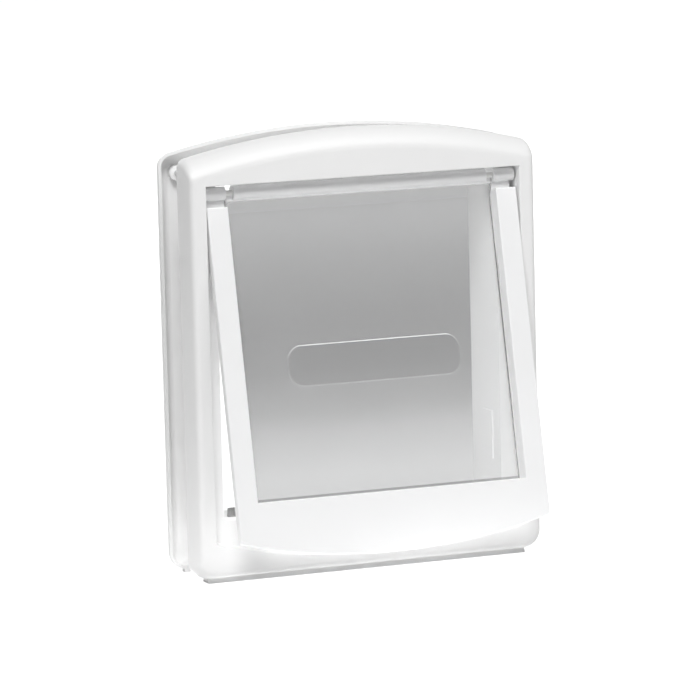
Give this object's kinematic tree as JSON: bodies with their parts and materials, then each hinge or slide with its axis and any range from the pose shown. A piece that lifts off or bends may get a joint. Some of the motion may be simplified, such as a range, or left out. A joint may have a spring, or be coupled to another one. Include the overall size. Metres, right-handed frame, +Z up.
{
  "type": "cat flap",
  "caption": "White pet door with an arched front frame, matching rear frame, swinging surround and a clear tinted flap.",
  "frame": {"origin": "under the middle of the front frame's base lip, on the plane the frames stand on", "axes": "+X to the viewer's right, +Y from the front face through the door to the rear frame, +Z up"},
  "size_m": [0.198, 0.0908, 0.236],
  "materials": {
    "frame_white": "satin",
    "surround_white": "satin",
    "flap_clear": "clear, lightly frosted",
    "rod_white": "smooth",
    "screw_steel": "zinc plated",
    "pile_grey": "woven pile",
    "magnet_dark": "dull"
  },
  "bodies": {
    "frames": {"front_frame": "frame_white", "rear_frame": "frame_white", "hinge_rod": "rod_white", "pile_strip": "pile_grey", "keeper_magnet": "magnet_dark", "fixing_screws": "screw_steel", "screw_caps": "frame_white"},
    "surround": {"surround": "surround_white"},
    "flap": {"flap_panel": "flap_clear", "flap_magnet": "magnet_dark"}
  },
  "joints": [
    {"name": "surround_hinge", "type": "hinge", "parent": "frames", "child": "surround", "pos_m": [0, -0.004, 0.206], "axis": [-1, 0, 0], "range_deg": [-12.1, 62.9]},
    {"name": "flap_hinge", "type": "hinge", "parent": "surround", "child": "flap", "pos_m": [0, -0.004, 0.206], "axis": [-1, 0, 0], "range_deg": [-70, 0]}
  ]
}
